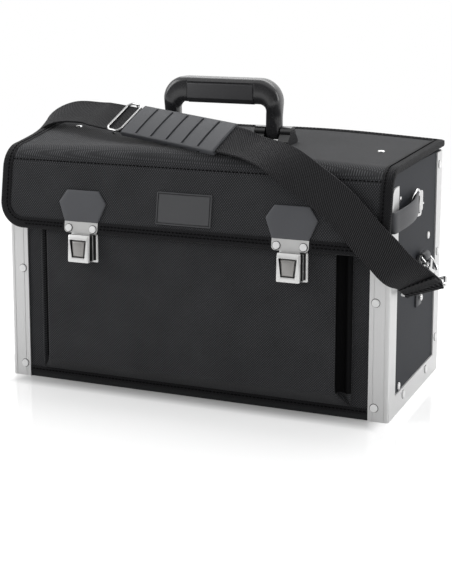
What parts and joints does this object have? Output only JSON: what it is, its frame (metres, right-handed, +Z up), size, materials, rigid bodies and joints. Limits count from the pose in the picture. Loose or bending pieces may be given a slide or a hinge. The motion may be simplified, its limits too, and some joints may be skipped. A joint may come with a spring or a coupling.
{
  "type": "tool bag",
  "caption": "Rigid black tool bag with aluminium corner profiles, hinged lid with front flap, push-button latches, carrying handle and padded shoulder strap on snap hooks.",
  "frame": {"origin": "on the floor under the middle of the case", "axes": "+Z up, +X to the right-hand side seen from the front, front towards -Y"},
  "size_m": [0.5155, 0.2389, 0.338],
  "materials": {
    "board": "matt black fibre board",
    "panel": "dark grey fine-grained plastic",
    "fabric": "black twill-woven polyester",
    "aluminium": "satin drawn",
    "steel": "bright nickel-plated",
    "chrome": "polished nickel plate",
    "leather": "smooth dark grey",
    "webbing": "black ribbed polyester webbing",
    "pad_rubber": "matt grey moulded",
    "grip_rubber": "matt black moulded",
    "gloss_plastic": "polished black moulded",
    "rail_plastic": "matt black extruded"
  },
  "bodies": {
    "case": {"back_board": "fabric", "base_board": "board", "bottom_profile_left": "aluminium", "bottom_profile_right": "aluminium", "corner_profile_front_left": "aluminium", "corner_profile_front_right": "aluminium", "corner_profile_rear_left": "aluminium", "corner_profile_rear_right": "aluminium", "divider": "board", "divider_loops": "fabric", "front_board": "fabric", "front_inner_pocket": "fabric", "front_pocket": "fabric", "guide_rails": "rail_plastic", "hinge_strip": "fabric", "hook_eye_left": "chrome", "hook_eye_right": "chrome", "lock_left": "chrome", "lock_right": "chrome", "lock_spring_left": "steel", "lock_spring_right": "steel", "panel_rivets": "steel", "profile_rivets": "steel", "ring_tab_left": "leather", "ring_tab_right": "leather", "side_clip_left": "chrome", "side_clip_right": "chrome", "side_panel_left": "panel", "side_panel_right": "panel", "side_strap_left": "leather", "side_strap_right": "leather", "strap_left_end": "webbing", "strap_right_end": "webbing", "tab_rivets": "steel"},
    "lid": {"lid_cover": "fabric", "stiffening_bar": "board", "handle_bracket_left": "gloss_plastic", "handle_bracket_right": "gloss_plastic", "handle_pins": "steel", "bracket_screws": "steel", "latch_patch_left": "leather", "latch_patch_right": "leather", "hasp_left": "chrome", "hasp_right": "chrome", "hasp_rivets": "steel", "label": "pad_rubber", "lid_rivets": "steel", "strap_middle": "webbing"},
    "handle": {"handle_frame": "gloss_plastic", "grip_insert": "grip_rubber"},
    "button_left": {"latch_button_left": "chrome"},
    "button_right": {"latch_button_right": "chrome"},
    "ring_left": {"ring_left": "chrome"},
    "ring_right": {"ring_right": "chrome"},
    "hook_left": {"hook_left": "chrome"},
    "hook_right": {"hook_right": "chrome"},
    "gate_left": {"gate_left": "chrome"},
    "gate_right": {"gate_right": "chrome"},
    "slider": {"slider": "chrome"},
    "strap_pad": {"strap_pad": "pad_rubber"}
  },
  "joints": [
    {"name": "lid_hinge", "type": "hinge", "parent": "case", "child": "lid", "pos_m": [0, 0.1055, 0.2566], "axis": [-1, 0, 0], "range_deg": [0, 110], "deforming": ["hinge_strip", "strap_left_end", "strap_right_end"]},
    {"name": "handle_fold", "type": "hinge", "parent": "lid", "child": "handle", "pos_m": [0, -0.011, 0.2785], "axis": [-1, 0, 0], "range_deg": [0, 80]},
    {"name": "button_left_press", "type": "slide", "parent": "case", "child": "button_left", "axis": [0, 1, 0], "range_m": [0, 0.0025], "stiffness_N_per_m": 400, "springref_m": -0.002, "deforming": ["lock_spring_left"]},
    {"name": "button_right_press", "type": "slide", "parent": "case", "child": "button_right", "axis": [0, 1, 0], "range_m": [0, 0.0025], "stiffness_N_per_m": 400, "springref_m": -0.002, "deforming": ["lock_spring_right"]},
    {"name": "ring_left_swing", "type": "hinge", "parent": "case", "child": "ring_left", "pos_m": [-0.2255, 0.009, 0.152], "axis": [0, 1, 0], "range_deg": [0, 5]},
    {"name": "ring_right_swing", "type": "hinge", "parent": "case", "child": "ring_right", "pos_m": [0.2255, 0.009, 0.152], "axis": [0, 1, 0], "range_deg": [-10, 10]},
    {"name": "hook_left_swivel", "type": "hinge", "parent": "case", "child": "hook_left", "pos_m": [-0.2371, 0.00074, 0.20593], "axis": [-0.03, -0.225, 0.9739], "range_deg": [-20, 20]},
    {"name": "gate_left_open", "type": "hinge", "parent": "hook_left", "child": "gate_left", "pos_m": [-0.2305, 0.00153, 0.20272], "axis": [-0.0069, 0.9744, 0.2249], "range_deg": [0, 20], "stiffness_Nm_per_rad": 0.02, "springref_deg": -11.46},
    {"name": "hook_right_swivel", "type": "hinge", "parent": "case", "child": "hook_right", "pos_m": [0.23846, -0.03953, 0.14177], "axis": [0.22, -0.9681, -0.12], "range_deg": [-14, 14]},
    {"name": "gate_right_open", "type": "hinge", "parent": "hook_right", "child": "gate_right", "pos_m": [0.23273, -0.03675, 0.13803], "axis": [0.6082, 0.2323, -0.759], "range_deg": [0, 20], "stiffness_Nm_per_rad": 0.02, "springref_deg": -11.46},
    {"name": "slider_slide", "type": "slide", "parent": "lid", "child": "slider", "axis": [0.9498, -0.3042, -0.0724], "range_m": [-0.015, 0]},
    {"name": "pad_slide", "type": "slide", "parent": "lid", "child": "strap_pad", "axis": [0.9498, -0.3042, -0.0724], "range_m": [0, 0.012]}
  ]
}
